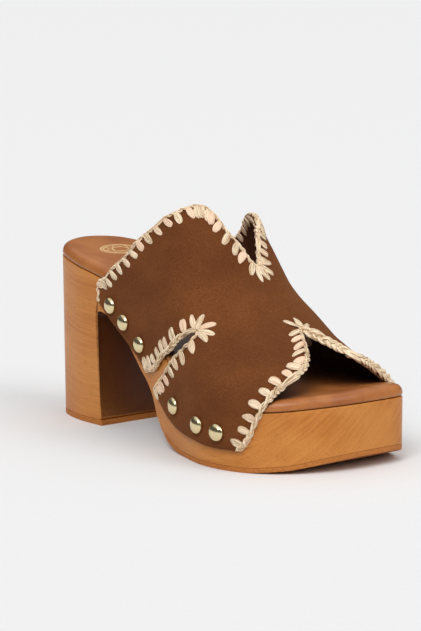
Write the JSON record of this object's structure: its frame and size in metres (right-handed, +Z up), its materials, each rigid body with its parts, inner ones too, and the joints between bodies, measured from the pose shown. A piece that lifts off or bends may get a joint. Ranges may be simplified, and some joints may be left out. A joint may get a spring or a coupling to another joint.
{
  "type": "platform slipper",
  "caption": "Open-toed platform mule with a block heel, a nailed band upper notched front and back with a leaf slit each side, and a padded insole.",
  "frame": {"origin": "on the ground under the middle of the heel", "axes": "+X to the toe, +Y to the inner side of the foot, +Z up; the heel and the forefoot stand on z = 0"},
  "size_m": [0.2296, 0.1073, 0.126],
  "materials": {
    "wood": "satin honey varnish over fine straight grain",
    "outsole_rubber": "matt",
    "insole_leather": "smooth leather with a soft sheen, padded",
    "suede": "napped suede, matt",
    "nail_brass": "polished"
  },
  "bodies": {
    "root": {"wood_sole": "wood", "forefoot_outsole": "outsole_rubber", "heel_top_piece": "outsole_rubber", "insole": "insole_leather", "upper": "suede", "nail_outer_rear_1": "nail_brass", "nail_outer_rear_2": "nail_brass", "nail_outer_rear_3": "nail_brass", "nail_outer_front_1": "nail_brass", "nail_outer_front_2": "nail_brass", "nail_outer_front_3": "nail_brass", "nail_inner_rear_1": "nail_brass", "nail_inner_rear_2": "nail_brass", "nail_inner_rear_3": "nail_brass", "nail_inner_front_1": "nail_brass", "nail_inner_front_2": "nail_brass", "nail_inner_front_3": "nail_brass"}
  },
  "joints": []
}
